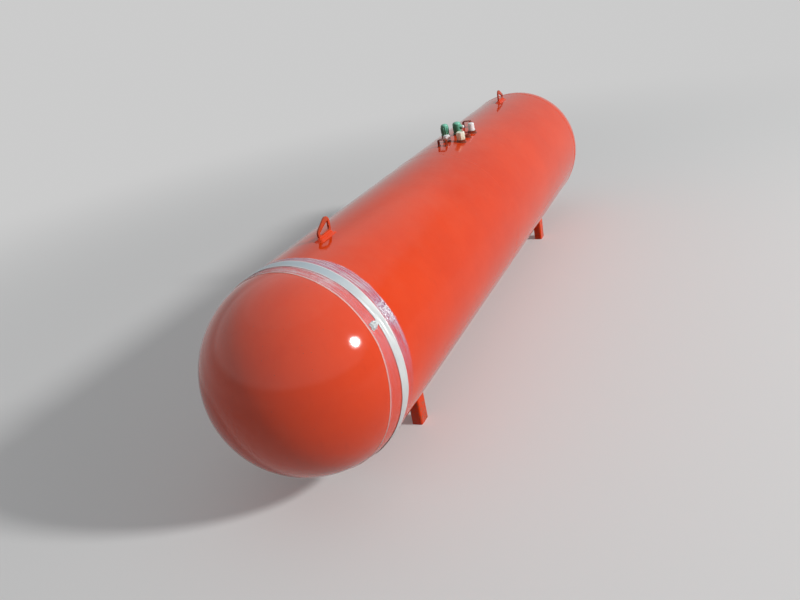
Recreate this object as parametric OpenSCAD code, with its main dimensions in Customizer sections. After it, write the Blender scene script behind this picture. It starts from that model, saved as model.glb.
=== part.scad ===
// Horizontal pressure tank for liquefied gas, with hemispherical heads, on four short legs.
// X runs along the tank, from the taped end to the far end. Z is up and the floor is at zero.

/* [Vessel] */
// Outside diameter of the shell and heads
shell_od = 1040; // [900:10:1200]
// Length of the straight shell between the two head seams
shell_length = 3810; // [3200:10:5000]
// Wall of the rolled shell plates
shell_wall = 6.1; // [4:0.1:12]
// Wall of the pressed heads
head_wall = 5; // [3:0.1:10]
// Height of the shell's lowest line above the floor
ground_clearance = 105; // [80:1:160]

/* [Welds] */
// Width of a seam weld bead
bead_width = 12; // [8:1:18]
// Height of a seam weld bead above the plate
bead_height = 2; // [1:0.1:3]
// Angle of the near plate's long seam from the top, towards the left
near_seam_angle = 118; // [100:1:128]
// Angle of the far plate's long seam from the top, towards the left
far_seam_angle = 78; // [60:1:95]

/* [Lifting lugs] */
// Distance from the near head seam to the middle of its lug
near_lug_inset = 402; // [300:1:700]
// Distance from the far head seam to the middle of its lug
far_lug_inset = 290; // [260:1:700]
// Length of a lug along the tank
lug_length = 128; // [122:1:150]
// Height of a lug above the shell, at the end towards the tank's middle
lug_height = 96; // [86:1:120]
// Thickness of the lug plate
lug_thickness = 10; // [8:1:18]
// Width of metal left round the two ends of the lug's eye
lug_rim = 17; // [12:1:22]
// Width of metal left above the lug's eye
lug_crown = 26; // [18:1:30]
// Height of the metal below the lug's eye
lug_sill = 26; // [23:1:30]
// Radius of the corners of the lug's eye
lug_eye_corner = 7; // [4:0.5:9]
// Length of the lug's foot on its pad
lug_foot = 112; // [96:1:118]
// Size of the weld along each side of the lug's foot
lug_weld = 12; // [6:1:16]
// Length of the pad under a lug
lug_pad_length = 144; // [126:1:180]
// Width of the pad under a lug
lug_pad_width = 44; // [43:1:60]
// Radius of the lug pad's corners
lug_pad_corner = 10; // [4:1:13]
// Thickness of the pad under a lug
lug_pad_thickness = 6; // [4:0.5:10]

/* [Legs] */
// Distance from a head seam to the middle of a leg
leg_inset = 515; // [350:1:800]
// Distance between the outer faces of a left and a right leg
leg_spread = 600; // [500:1:680]
// Width of a leg channel along the tank
leg_width = 90; // [60:1:110]
// Depth of a leg channel across the tank
leg_depth = 58; // [40:1:70]
// Thickness of the leg channel
leg_thickness = 6; // [4:0.5:10]
// Inside radius of the leg channel's two bends
leg_bend = 6; // [3:1:12]
// Thickness of the plate that closes the channel's foot
foot_thickness = 8; // [5:0.5:16]
// Diameter of the anchor hole in the foot
foot_hole = 18; // [10:1:24]
// Length of the pad that joins a leg to the shell
leg_pad_length = 220; // [190:1:300]
// Width of the pad that joins a leg to the shell
leg_pad_width = 160; // [150:1:190]
// Radius of the leg pad's corners
leg_pad_corner = 72; // [30:1:74]
// Thickness of the leg pad
leg_pad_thickness = 6; // [4:0.5:10]

/* [Couplings] */
// Distance of the fittings' middle from the tank's middle, towards the far end
cluster_offset = 470; // [350:1:600]
// Height of the couplings above the shell's top line
coupling_height = 8; // [7:1:16]
// Depth of the couplings below the shell's top line
coupling_depth = 46; // [40:1:70]
// Outside diameter of the large couplings
large_coupling = 58; // [54:1:62]
// Outside diameter of the small couplings
small_coupling = 46; // [42:1:50]
// Wall of the large couplings
large_wall = 10; // [9:0.5:13]
// Wall of the small couplings
small_wall = 8; // [7.5:0.5:10]

/* [Valves and caps] */
// Depth of a valve's shank or a plug in its coupling
shank_depth = 24; // [16:1:30]
// Width across the flats of the large valves' hexagons
large_hex = 42; // [40:1:43]
// Width across the flats of the vapour valve's hexagon
small_hex = 32; // [31:1:34]
// Height of a valve's hexagon
hex_height = 10; // [6:1:14]
// Space between a cap and the valve inside it
cap_clearance = 0.5; // [0.3:0.1:0.8]
// Diameter of the fill valve's neck
fill_neck_d = 38; // [32:1:42]
// Height of the fill valve's neck
fill_neck_h = 48; // [30:1:52]
// Diameter of the fill valve's cap without its ribs
fill_cap_d = 60; // [58:1:66]
// Height of the fill valve's cap
fill_cap_h = 80; // [78:1:90]
// Number of grip ribs round the fill valve's cap
fill_ribs = 12; // [6:1:16]
// Diameter of a grip rib of the fill valve's cap
fill_rib_d = 8; // [5:0.5:9]
// Diameter of the service valve's body
service_body_d = 44; // [38:1:48]
// Height of the service valve's body
service_body_h = 48; // [46:1:50]
// Diameter of the service valve's stem
service_stem_d = 20; // [16:1:28]
// Height of the service valve's stem
service_stem_h = 12; // [8:1:13]
// Diameter of the cover over the service valve
service_cap_d = 64; // [60:1:72]
// Height of the cover over the service valve
service_cap_h = 82; // [81:1:90]
// Height of the service valve's side port above its hexagon
service_port_z = 33; // [28:1:36]
// Diameter of the service valve's side port
service_port_d = 14; // [10:1:18]
// Depth of the service valve's side port
service_port_depth = 12; // [8:1:14]
// Diameter of the boss round the side port, on the cover
service_boss_d = 30; // [26:1:34]
// Distance from the service valve's middle to the boss's face
service_boss_reach = 40; // [38:1:46]
// Diameter of the plug's head in the side port
outlet_cap_d = 22; // [20:1:25]
// Length of the plug's head in the side port
outlet_cap_length = 13; // [10:1:20]
// Diameter of the relief valve's neck
relief_neck_d = 34; // [28:1:38]
// Height of the relief valve's neck
relief_neck_h = 30; // [20:1:31]
// Diameter of the relief valve's rain cap
relief_cap_d = 54; // [53:1:60]
// Height of the relief valve's rain cap
relief_cap_h = 56; // [55:1:64]
// Height of the rim round the foot of the rain cap
relief_rim_h = 6; // [3:1:12]
// Width of the rim round the foot of the rain cap
relief_rim = 2; // [1:0.5:4]
// Height of the domes on the fill, service and relief caps
cap_dome = 12; // [8:1:13]
// Diameter of the vapour valve's neck
vapour_neck_d = 24; // [18:1:28]
// Height of the vapour valve's neck
vapour_neck_h = 14; // [8:1:18]
// Diameter of the vapour valve's cap without its lobes
vapour_cap_d = 42; // [41:1:46]
// Height of the vapour valve's cap
vapour_cap_h = 38; // [34:1:44]
// Number of lobes round the vapour valve's cap
vapour_lobes = 4; // [3:1:6]
// Diameter of a lobe of the vapour valve's cap
vapour_lobe_d = 20; // [14:1:22]
// How far the lobes stand out from the vapour valve's cap
vapour_lobe_reach = 6; // [3:0.5:8]
// Height of the dome on the vapour valve's cap
small_dome = 5; // [3:1:8]
// How far ribs and lobes stop below the dome of a cap
rib_drop = 3; // [1:1:6]
// Diameter of the gauge's flange
gauge_flange_d = 46; // [43:1:47]
// Thickness of the gauge's flange
gauge_flange_h = 8; // [6:1:14]
// Width of the gauge's cap across its eight flats
gauge_cap_d = 54; // [53:1:60]
// Height of the gauge's cap
gauge_cap_h = 53; // [40:1:60]
// Wall of the gauge's cap
gauge_cap_wall = 3; // [2:0.5:4]
// Width of the chamfer round the top of the gauge's cap
gauge_chamfer = 5; // [2:1:6]
// Diameter of the recess in the top of the gauge's cap
gauge_recess_d = 38; // [30:1:40]
// Depth of the recess in the top of the gauge's cap
gauge_recess = 8; // [4:1:12]
// Width of the two bars that cross the recess
gauge_bar = 7; // [4:1:10]
// How far the spare coupling's plug lies below its mouth
plug_recess = 5; // [3:1:8]
// Depth of the plug's hexagon socket
plug_socket_depth = 8; // [5:1:10]
// Size of the plug's hexagon socket across its corners
plug_socket_d = 16; // [10:1:20]

/* [Hood brackets] */
// Distance between the middles of the two hood brackets
bracket_spacing = 530; // [480:1:600]
// Width of a hood bracket across the tank
bracket_width = 62; // [50:1:90]
// Height of a hood bracket above the shell's top line
bracket_height = 46; // [34:1:70]
// Length of a hood bracket along the tank
bracket_length = 32; // [20:1:50]
// Thickness of a hood bracket's strap
bracket_thickness = 5; // [3:0.5:8]
// Outside radius of a hood bracket's bends
bracket_bend = 11; // [9:1:16]

/* [Wrapping at the near seam] */
// Space left between the plates, the film and the tape
wrap_gap = 0.1; // [0.05:0.05:0.3]
// Distance of the wrapping's middle from the seam, along the shell
wrap_offset = 8; // [-40:1:60]
// Angle at which the wrapping leans along the tank, from bottom to top
wrap_lean = 6; // [0:0.5:8]
// Angle at which the wrapping runs along the tank, from right to left
wrap_turn = 4.6; // [0:0.1:8]
// Width of the clear film
film_width = 200; // [150:1:240]
// Thickness of the wound film
film_thickness = 2; // [0.4:0.1:3]
// Width of the tape
tape_width = 60; // [48:1:110]
// Thickness of the tape
tape_thickness = 1.5; // [0.5:0.1:2]

/* [Hidden] */

$fn = 96;
// Overlap that keeps a cut from ending on a face
cut = 1;
// Flats along each round corner of an outline made of points
corner_steps = 10;
red = [0.82, 0.22, 0.1];
brass = [0.72, 0.56, 0.28];
green = [0.1, 0.45, 0.3];
white = [0.9, 0.9, 0.87];

shell_r = shell_od / 2;
axis_z = ground_clearance + shell_r;
shell_top = axis_z + shell_r;
half_length = shell_length / 2;
near_lug_x = near_lug_inset - half_length;
far_lug_x = half_length - far_lug_inset;
leg_x = half_length - leg_inset;
leg_outer = leg_spread / 2;
leg_middle = leg_outer - leg_depth / 2;
lug_pad_r = shell_r + lug_pad_thickness;
leg_pad_r = shell_r + leg_pad_thickness;
leg_pad_angle = asin(leg_middle / leg_pad_r);
// Round of a weld bead whose crown stands proud of the plate
bead_round = (bead_width * bead_width / 4 + bead_height * bead_height) / (2 * bead_height);
coupling_top = shell_top + coupling_height;
// Stretch of the skin, to each side of the seam, that the wrapping is cut from
wrap_reach = 2 * film_width;

// Middles of the couplings: along the tank from the fittings' middle, and across to the left
fill_at = [25, 86];
service_at = [50, 0];
relief_at = [103, -88];
vapour_at = [-145, 11];
gauge_at = [-151, -95];
spare_at = [-17, -92];
large_bore = large_coupling - 2 * large_wall;
small_bore = small_coupling - 2 * small_wall;
service_port_height = hex_height + service_port_z;

// Turns a drawing of [along the tank, radius] about the tank's axis
module turn_about_axis() {
    translate([0, 0, axis_z]) rotate([0, 90, 0]) rotate_extrude() mirror([1, -1]) children();
}

// Solid round bar on the tank's axis
module axis_bar(radius, length) {
    translate([0, 0, axis_z]) rotate([0, 90, 0]) cylinder(r = radius, h = length, center = true);
}

// Stands a piece at a coupling's place
module at_coupling(place, z) {
    translate([cluster_offset + place[0], place[1], z]) children();
}

// Rectangle with all four corners rounded, about its middle
module rounded_rectangle(length, width, corner) {
    square([length, width - 2 * corner], center = true);
    square([length - 2 * corner, width], center = true);
    for (x = [-1, 1], y = [-1, 1])
        translate([x * (length / 2 - corner), y * (width / 2 - corner)]) circle(r = corner);
}

// Rectangle on its base line with the two upper corners rounded
module rounded_top(length, height, corner) {
    translate([-length / 2, 0]) square([length, height - corner]);
    translate([corner - length / 2, 0]) square([length - 2 * corner, height]);
    for (x = [-1, 1])
        translate([x * (length / 2 - corner), height - corner]) circle(r = corner);
}

// Direction from circle a to its point on the outer tangent that runs on to circle b
function tangent_way(a, b) = let (run = [b[0] - a[0], b[1] - a[1]])
    atan2(run[1], run[0]) - acos((a[2] - b[2]) / norm(run));

// Points of the outline drawn tight round circles, each given as [x, y, radius], anticlockwise
function tight_outline(circles) = let (n = len(circles)) [
    for (i = [0:n - 1]) let (
        c = circles[i],
        from = tangent_way(circles[(i + n - 1) % n], c),
        turn = (tangent_way(c, circles[(i + 1) % n]) - from + 720) % 360
    )
        for (k = [0:corner_steps]) let (way = from + turn * k / corner_steps)
            [c[0] + c[2] * cos(way), c[1] + c[2] * sin(way)]
];

// Vessel
module shell_plate(side) {
    difference() {
        translate([side * half_length / 2, 0, 0]) axis_bar(shell_r, half_length);
        axis_bar(shell_r - shell_wall, shell_length + 2 * cut);
        if (side > 0) {
            for (place = [fill_at, service_at, relief_at, gauge_at])
                at_coupling(place, axis_z) cylinder(d = large_coupling, h = shell_r + cut);
            for (place = [vapour_at, spare_at])
                at_coupling(place, axis_z) cylinder(d = small_coupling, h = shell_r + cut);
        }
    }
}

module shell_near() { color(red) shell_plate(-1); }
module shell_far() { color(red) shell_plate(1); }

module head(side) {
    translate([side * half_length, 0, axis_z]) rotate([0, side * 90, 0]) rotate_extrude()
        intersection() {
            difference() {
                circle(r = shell_r);
                circle(r = shell_r - head_wall);
            }
            square([shell_od, shell_od]);
        }
}

module head_near() { color(red) head(-1); }
module head_far() { color(red) head(1); }

// Section of a weld bead, lying on its base line
module bead_section() {
    intersection() {
        translate([0, bead_height - bead_round]) circle(r = bead_round);
        translate([-bead_width, 0]) square([2 * bead_width, 2 * bead_height]);
    }
}

// Weld bead round the shell, with its middle at one place along the tank
module ring_bead(place) {
    turn_about_axis() translate([place, shell_r]) bead_section();
}

module seam_weld_near() { color(red) ring_bead(-half_length); }
module seam_weld_middle() { color(red) ring_bead(0); }
module seam_weld_far() { color(red) ring_bead(half_length); }

// Weld bead along one plate, between the ring beads at its two ends
module long_bead(side, angle) {
    bead_length = half_length - bead_width;
    translate([side * half_length / 2 - bead_length / 2, 0, axis_z]) rotate([90, 0, 90])
        linear_extrude(bead_length) rotate(angle) translate([0, shell_r]) bead_section();
}

module long_weld_near() { color(red) long_bead(-1, -near_seam_angle); }
module long_weld_far() { color(red) long_bead(1, -far_seam_angle); }

// Lifting lugs
module lug_pad(place) {
    intersection() {
        difference() {
            axis_bar(lug_pad_r, shell_length);
            axis_bar(shell_r, shell_length + cut);
        }
        translate([place, 0, axis_z]) linear_extrude(shell_od)
            rounded_rectangle(lug_pad_length, lug_pad_width, lug_pad_corner);
    }
}

module lug_pad_near() { color(red) lug_pad(near_lug_x); }
module lug_pad_far() { color(red) lug_pad(far_lug_x); }

// Face of a lug above the shell's top line: a loop that rises towards one end
module lug_face() {
    low = lug_sill + lug_eye_corner;
    high = lug_height - lug_crown - lug_eye_corner;
    end_round = lug_eye_corner + lug_rim;
    top_round = lug_eye_corner + lug_crown;
    eye_end = lug_length / 2 - end_round;
    difference() {
        union() {
            polygon(tight_outline([[-eye_end, low, end_round], [eye_end, low, end_round],
                [lug_length / 2 - top_round, high, top_round]]));
            translate([-lug_foot / 2, 0]) square([lug_foot, low]);
        }
        polygon(tight_outline([[-eye_end, low, lug_eye_corner], [eye_end, low, lug_eye_corner],
            [eye_end, high, lug_eye_corner]]));
    }
}

// Plate that rises towards the tank's middle, with a fillet weld along each side of its foot
module lifting_lug(place) {
    half = lug_thickness / 2;
    difference() {
        translate([place, 0, axis_z + shell_r]) mirror([place > 0 ? 1 : 0, 0, 0]) {
            translate([0, half, 0]) rotate([90, 0, 0]) linear_extrude(lug_thickness) lug_face();
            translate([-lug_foot / 2, 0, lug_pad_thickness]) rotate([90, 0, 90])
                linear_extrude(lug_foot) polygon([
                    [-half - lug_weld, -lug_pad_thickness], [half + lug_weld, -lug_pad_thickness],
                    [half + lug_weld, 0], [half, lug_weld], [-half, lug_weld], [-half - lug_weld, 0]
                ]);
        }
        axis_bar(lug_pad_r, shell_length);
    }
}

module lifting_lug_near() { color(red) lifting_lug(near_lug_x); }
module lifting_lug_far() { color(red) lifting_lug(far_lug_x); }

// Legs
module leg_pad(end, side) {
    intersection() {
        difference() {
            axis_bar(leg_pad_r, shell_length);
            axis_bar(shell_r, shell_length + cut);
        }
        translate([end * leg_x, 0, axis_z]) rotate([180 + side * leg_pad_angle, 0, 0])
            linear_extrude(shell_od) rounded_rectangle(leg_pad_length, leg_pad_width, leg_pad_corner);
    }
}

// Channel with its back to the outside, cut to the pad above and closed by a plate below
module leg(end, side) {
    outer_bend = leg_bend + leg_thickness;
    difference() {
        translate([end * leg_x, side * (leg_outer - leg_depth), 0]) mirror([0, side < 0 ? 1 : 0, 0]) {
            linear_extrude(axis_z) difference() {
                rounded_top(leg_width, leg_depth, outer_bend);
                translate([0, -cut])
                    rounded_top(leg_width - 2 * leg_thickness, leg_depth - leg_thickness + cut, leg_bend);
            }
            linear_extrude(foot_thickness) difference() {
                rounded_top(leg_width, leg_depth, outer_bend);
                translate([0, (leg_depth - leg_thickness) / 2]) circle(d = foot_hole);
            }
        }
        axis_bar(leg_pad_r, shell_length);
    }
}

module leg_near_left() { color(red) leg(-1, 1); }
module leg_near_right() { color(red) leg(-1, -1); }
module leg_far_left() { color(red) leg(1, 1); }
module leg_far_right() { color(red) leg(1, -1); }
module leg_pad_near_left() { color(red) leg_pad(-1, 1); }
module leg_pad_near_right() { color(red) leg_pad(-1, -1); }
module leg_pad_far_left() { color(red) leg_pad(1, 1); }
module leg_pad_far_right() { color(red) leg_pad(1, -1); }

// Couplings and what is screwed into them
module coupling(place, outer, bore) {
    at_coupling(place, shell_top - coupling_depth) difference() {
        cylinder(d = outer, h = coupling_depth + coupling_height);
        translate([0, 0, -cut]) cylinder(d = bore, h = coupling_depth + coupling_height + 2 * cut);
    }
}

module fill_coupling() { color(red) coupling(fill_at, large_coupling, large_bore); }
module service_coupling() { color(red) coupling(service_at, large_coupling, large_bore); }
module relief_coupling() { color(red) coupling(relief_at, large_coupling, large_bore); }
module gauge_coupling() { color(red) coupling(gauge_at, large_coupling, large_bore); }
module vapour_coupling() { color(red) coupling(vapour_at, small_coupling, small_bore); }
module spare_coupling() { color(red) coupling(spare_at, small_coupling, small_bore); }

// Shank in the coupling with a hexagon on top of it
module valve_base(bore, across_flats, hex_height) {
    translate([0, 0, -shank_depth]) cylinder(d = bore, h = shank_depth + hex_height);
    cylinder(d = across_flats / cos(30), h = hex_height, $fn = 6);
}

// Round body with a domed top
module domed_body(diameter, height, dome) {
    dome_round = (diameter * diameter / 4 + dome * dome) / (2 * dome);
    rotate_extrude() intersection() {
        square([diameter / 2, height]);
        translate([0, height - dome_round]) circle(r = dome_round);
    }
}

// Bars standing in a ring, as the ribs or lobes of a cap
module ring_of_bars(count, ring_d, bar_d, height) {
    for (i = [0:count - 1])
        rotate(i * 360 / count) translate([ring_d / 2, 0, 0]) cylinder(d = bar_d, h = height);
}

// Room inside a cap for a valve's hexagon and the round neck above it
module valve_room(across_flats, neck_d, neck_h) {
    neck_top = hex_height + neck_h + cap_clearance;
    translate([0, 0, -cut])
        cylinder(d = across_flats / cos(30) + 2 * cap_clearance, h = hex_height + cap_clearance + cut);
    cylinder(d = neck_d + 2 * cap_clearance, h = neck_top);
}

// Valve with a hexagon on the coupling and a round neck above it
module necked_valve(place, bore, across_flats, neck_d, neck_h) {
    at_coupling(place, coupling_top) {
        valve_base(bore, across_flats, hex_height);
        translate([0, 0, hex_height]) cylinder(d = neck_d, h = neck_h);
    }
}

module fill_valve() {
    color(brass) necked_valve(fill_at, large_bore, large_hex, fill_neck_d, fill_neck_h);
}

// Domed plastic cap with grip ribs
module fill_cap() {
    color(green) at_coupling(fill_at, coupling_top) difference() {
        union() {
            domed_body(fill_cap_d, fill_cap_h, cap_dome);
            ring_of_bars(fill_ribs, fill_cap_d - fill_rib_d / 2, fill_rib_d,
                fill_cap_h - cap_dome - rib_drop);
        }
        valve_room(large_hex, fill_neck_d, fill_neck_h);
    }
}

module relief_valve() {
    color(brass) necked_valve(relief_at, large_bore, large_hex, relief_neck_d, relief_neck_h);
}

// Domed rain cap with a rim round its foot
module relief_cap() {
    color(white) at_coupling(relief_at, coupling_top) difference() {
        union() {
            domed_body(relief_cap_d, relief_cap_h, cap_dome);
            cylinder(d = relief_cap_d + 2 * relief_rim, h = relief_rim_h);
        }
        valve_room(large_hex, relief_neck_d, relief_neck_h);
    }
}

module vapour_valve() {
    color(brass) necked_valve(vapour_at, small_bore, small_hex, vapour_neck_d, vapour_neck_h);
}

// Cap with lobes to turn it by
module vapour_cap() {
    lobe_ring = vapour_cap_d + 2 * vapour_lobe_reach - vapour_lobe_d;
    color(white) at_coupling(vapour_at, coupling_top) difference() {
        union() {
            domed_body(vapour_cap_d, vapour_cap_h, small_dome);
            ring_of_bars(vapour_lobes, lobe_ring, vapour_lobe_d, vapour_cap_h - small_dome - rib_drop);
        }
        valve_room(small_hex, vapour_neck_d, vapour_neck_h);
    }
}

// Bar that points to the right from the service valve's middle, at its port
module port_bar(diameter, from, to) {
    translate([0, -from, service_port_height]) rotate([90, 0, 0]) cylinder(d = diameter, h = to - from);
}

// Round body with a stem above and a threaded port on its right
module service_valve() {
    body_r = service_body_d / 2;
    color(brass) {
        difference() {
            necked_valve(service_at, large_bore, large_hex, service_body_d, service_body_h);
            at_coupling(service_at, coupling_top)
                port_bar(service_port_d, body_r - service_port_depth, body_r + cut);
        }
        at_coupling(service_at, coupling_top + hex_height + service_body_h)
            cylinder(d = service_stem_d, h = service_stem_h);
    }
}

// Domed cover that slips over the whole valve, with a boss round its port
module service_cap() {
    room_d = service_body_d + 2 * cap_clearance;
    stem_top = hex_height + service_body_h + service_stem_h + cap_clearance;
    color(green) at_coupling(service_at, coupling_top) difference() {
        union() {
            domed_body(service_cap_d, service_cap_h, cap_dome);
            port_bar(service_boss_d, 0, service_boss_reach);
        }
        valve_room(large_hex, service_body_d, service_body_h);
        cylinder(d = service_stem_d + 2 * cap_clearance, h = stem_top);
        port_bar(service_port_d + 2 * cap_clearance, room_d / 4, service_boss_reach + cut);
    }
}

// Plug through the cover's boss into the valve's port, with a domed head
module service_outlet_cap() {
    body_r = service_body_d / 2;
    color(white) at_coupling(service_at, coupling_top) {
        port_bar(service_port_d, body_r - service_port_depth, service_boss_reach);
        translate([0, -service_boss_reach, service_port_height]) rotate([90, 0, 0])
            domed_body(outlet_cap_d, outlet_cap_length, small_dome);
    }
}

module gauge_body() {
    color("dimgray") at_coupling(gauge_at, coupling_top) {
        translate([0, 0, -shank_depth]) cylinder(d = large_bore, h = shank_depth + gauge_flange_h);
        cylinder(d = gauge_flange_d, h = gauge_flange_h);
    }
}

// Eight-sided cap with two bars across the recess in its top
module gauge_dial() {
    corner_r = gauge_cap_d / 2 / cos(22.5);
    recess_floor = gauge_cap_h - gauge_recess;
    color(white) at_coupling(gauge_at, coupling_top) difference() {
        intersection() {
            rotate(22.5) cylinder(r = corner_r, h = gauge_cap_h, $fn = 8);
            rotate_extrude() polygon([
                [0, 0], [corner_r + cut, 0], [corner_r + cut, gauge_cap_h - gauge_chamfer - cut],
                [corner_r - gauge_chamfer, gauge_cap_h], [0, gauge_cap_h]
            ]);
        }
        translate([0, 0, -cut])
            cylinder(d = gauge_cap_d - 2 * gauge_cap_wall, h = recess_floor - gauge_cap_wall + cut);
        difference() {
            translate([0, 0, recess_floor]) cylinder(d = gauge_recess_d, h = gauge_recess + cut);
            for (turn = [45, 135])
                rotate(turn) translate([-gauge_cap_d, -gauge_bar / 2, 0])
                    cube([2 * gauge_cap_d, gauge_bar, gauge_cap_h - cut]);
        }
    }
}

// Plug sunk in the spare coupling, with a hexagon socket
module spare_plug() {
    color(red) at_coupling(spare_at, coupling_top - shank_depth) difference() {
        cylinder(d = small_bore, h = shank_depth - plug_recess);
        translate([0, 0, shank_depth - plug_recess - plug_socket_depth])
            cylinder(d = plug_socket_d, h = plug_socket_depth + cut, $fn = 6);
    }
}

// Strap bent down at both ends, welded to the shell
module hood_bracket(side) {
    rise = shell_r + bracket_height;
    difference() {
        translate([cluster_offset + side * bracket_spacing / 2 - bracket_length / 2, 0, axis_z])
            rotate([90, 0, 90]) linear_extrude(bracket_length) difference() {
                rounded_top(bracket_width, rise, bracket_bend);
                rounded_top(bracket_width - 2 * bracket_thickness, rise - bracket_thickness,
                    bracket_bend - bracket_thickness);
            }
        axis_bar(shell_r, shell_length);
    }
}

module hood_bracket_near() { color(red) hood_bracket(-1); }
module hood_bracket_far() { color(red) hood_bracket(1); }

// Section of the vessel's skin at the near seam, grown outwards: [along the tank, radius]
module grown_skin(growth) {
    translate([-half_length, 0]) circle(r = shell_r + growth);
    translate([-half_length, 0]) square([half_length, shell_r + growth]);
    translate([-half_length, shell_r + bead_height - bead_round]) circle(r = bead_round + growth);
}

// Everything inside a layer wound round the near seam and over the near plate's long bead
module wound(reach, growth) {
    turn_about_axis() intersection() {
        grown_skin(growth);
        translate([-half_length - reach, shell_r / 2 + growth]) square([2 * reach, shell_r]);
    }
    translate([-half_length, 0, axis_z]) rotate([90, 0, 90]) linear_extrude(reach)
        rotate(-near_seam_angle) translate([0, shell_r + bead_height - bead_round])
            circle(r = bead_round + growth);
}

// Leaning band of one layer
module wrapping(width, inner_growth, outer_growth) {
    intersection() {
        difference() {
            wound(wrap_reach, outer_growth);
            wound(wrap_reach + cut, inner_growth);
        }
        translate([wrap_offset - half_length, 0, axis_z]) rotate([0, wrap_lean, -wrap_turn])
            cube([width, 2 * shell_od, 2 * shell_od], center = true);
    }
}

module wrap_film() {
    color("mistyrose") wrapping(film_width, wrap_gap, wrap_gap + film_thickness);
}

module tape_band() {
    tape_growth = film_thickness + 2 * wrap_gap;
    color("lightgray") wrapping(tape_width, tape_growth, tape_growth + tape_thickness);
}

shell_near();
shell_far();
head_near();
head_far();
seam_weld_near();
seam_weld_middle();
seam_weld_far();
long_weld_near();
long_weld_far();
lifting_lug_near();
lifting_lug_far();
lug_pad_near();
lug_pad_far();
leg_near_left();
leg_near_right();
leg_far_left();
leg_far_right();
leg_pad_near_left();
leg_pad_near_right();
leg_pad_far_left();
leg_pad_far_right();
fill_coupling();
fill_valve();
fill_cap();
service_coupling();
service_valve();
service_cap();
service_outlet_cap();
relief_coupling();
relief_valve();
relief_cap();
vapour_coupling();
vapour_valve();
vapour_cap();
gauge_coupling();
gauge_body();
gauge_dial();
spare_coupling();
spare_plug();
hood_bracket_near();
hood_bracket_far();
wrap_film();
tape_band();
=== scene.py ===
from math import asin, atan2, cos, exp, pi, radians, sin, sqrt

import bmesh
import bpy
from mathutils import Matrix, Vector, noise


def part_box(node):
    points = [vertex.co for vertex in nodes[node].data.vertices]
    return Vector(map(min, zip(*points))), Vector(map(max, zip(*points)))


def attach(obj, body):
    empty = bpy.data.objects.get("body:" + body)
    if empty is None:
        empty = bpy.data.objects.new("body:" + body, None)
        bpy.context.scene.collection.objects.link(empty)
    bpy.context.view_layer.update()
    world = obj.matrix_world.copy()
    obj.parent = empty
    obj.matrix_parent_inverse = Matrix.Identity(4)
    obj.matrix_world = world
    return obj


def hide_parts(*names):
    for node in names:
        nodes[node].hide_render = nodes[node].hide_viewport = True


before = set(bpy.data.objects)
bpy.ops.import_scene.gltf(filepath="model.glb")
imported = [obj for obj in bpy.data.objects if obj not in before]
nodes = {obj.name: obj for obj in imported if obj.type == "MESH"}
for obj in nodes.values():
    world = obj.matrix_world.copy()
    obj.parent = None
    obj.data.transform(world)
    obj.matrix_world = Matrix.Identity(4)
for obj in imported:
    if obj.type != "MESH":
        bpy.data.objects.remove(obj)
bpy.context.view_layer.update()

# Heads and shell courses
# Two plates of about 6 mm steel rolled into rings and welded to each other, and a pressed
# hemispherical head welded on at each end. Sprayed with glossy orange-red enamel.
low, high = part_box("shell_near")
shell_r = (high.y - low.y) / 2
axis_z = (high.z + low.z) / 2
near_seam = low.x
far_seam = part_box("shell_far")[1].x
girth_seams = (near_seam, 0.0, far_seam)
seam_depths = (1.0, 0.35, 1.0)
shell_wall = 0.0061
head_wall = 0.005
plate_wave = 0.0009
seam_neck = 0.0011
neck_reach = 0.035
sharp_edge = radians(35)
enamel_bright = (0.81, 0.054, 0.003, 1)
enamel_deep = (0.72, 0.043, 0.002, 1)
enamel_faded = (0.84, 0.080, 0.010, 1)
run_colour = (0.52, 0.034, 0.004, 1)
dust_colour = (0.60, 0.33, 0.24, 1)
mud_colour = (0.23, 0.10, 0.045, 1)
speck_colour = (0.12, 0.022, 0.012, 1)
rust_and_shade_colour = (0.10, 0.026, 0.010, 1)
painted_shade_colour = (0.36, 0.060, 0.020, 1)
scuff_colour = (0.80, 0.26, 0.15, 1)


def new_mesh(name, points, faces):
    """A smooth-shaded piece, in metres, that keeps its sharp edges."""
    mesh = bpy.data.meshes.new(name)
    mesh.from_pydata(points, [], faces)
    form = bmesh.new()
    form.from_mesh(mesh)
    bmesh.ops.recalc_face_normals(form, faces=form.faces)
    form.to_mesh(mesh)
    form.free()
    mesh.shade_smooth()
    mesh.set_sharp_from_angle(angle=sharp_edge)
    piece = bpy.data.objects.new(name, mesh)
    bpy.context.scene.collection.objects.link(piece)
    return piece


def on_tank(piece, material, slot, *replaced):
    """The piece's finish, its body, and the nodes that it stands for. Its slot in the record is not
    used.
    """
    piece.data.materials.append(material)
    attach(piece, "root")
    if replaced:
        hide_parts(*replaced)
    return piece


def ringed(name, rings, closed=True):
    """A closed body with its skin through rings of points, in order. A ring of one point is a pole.
    An open run of rings is closed by a face at each end instead."""
    points, spans, faces = [], [], []
    for ring in rings:
        spans.append(range(len(points), len(points) + len(ring)))
        points += ring
    count = max(len(ring) for ring in rings)
    for a, b in zip(spans, spans[1:] + spans[:1] if closed else spans[1:]):
        for i in range(count):
            j = (i + 1) % count
            if len(a) > 1 and len(b) > 1:
                faces.append((a[i], b[i], b[j], a[j]))
            elif len(a) > 1:
                faces.append((a[i], b[0], a[j]))
            elif len(b) > 1:
                faces.append((a[0], b[i], b[j]))
    if not closed:
        faces += [tuple(spans[0]), tuple(spans[-1])]
    return new_mesh(name, points, faces)


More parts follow.
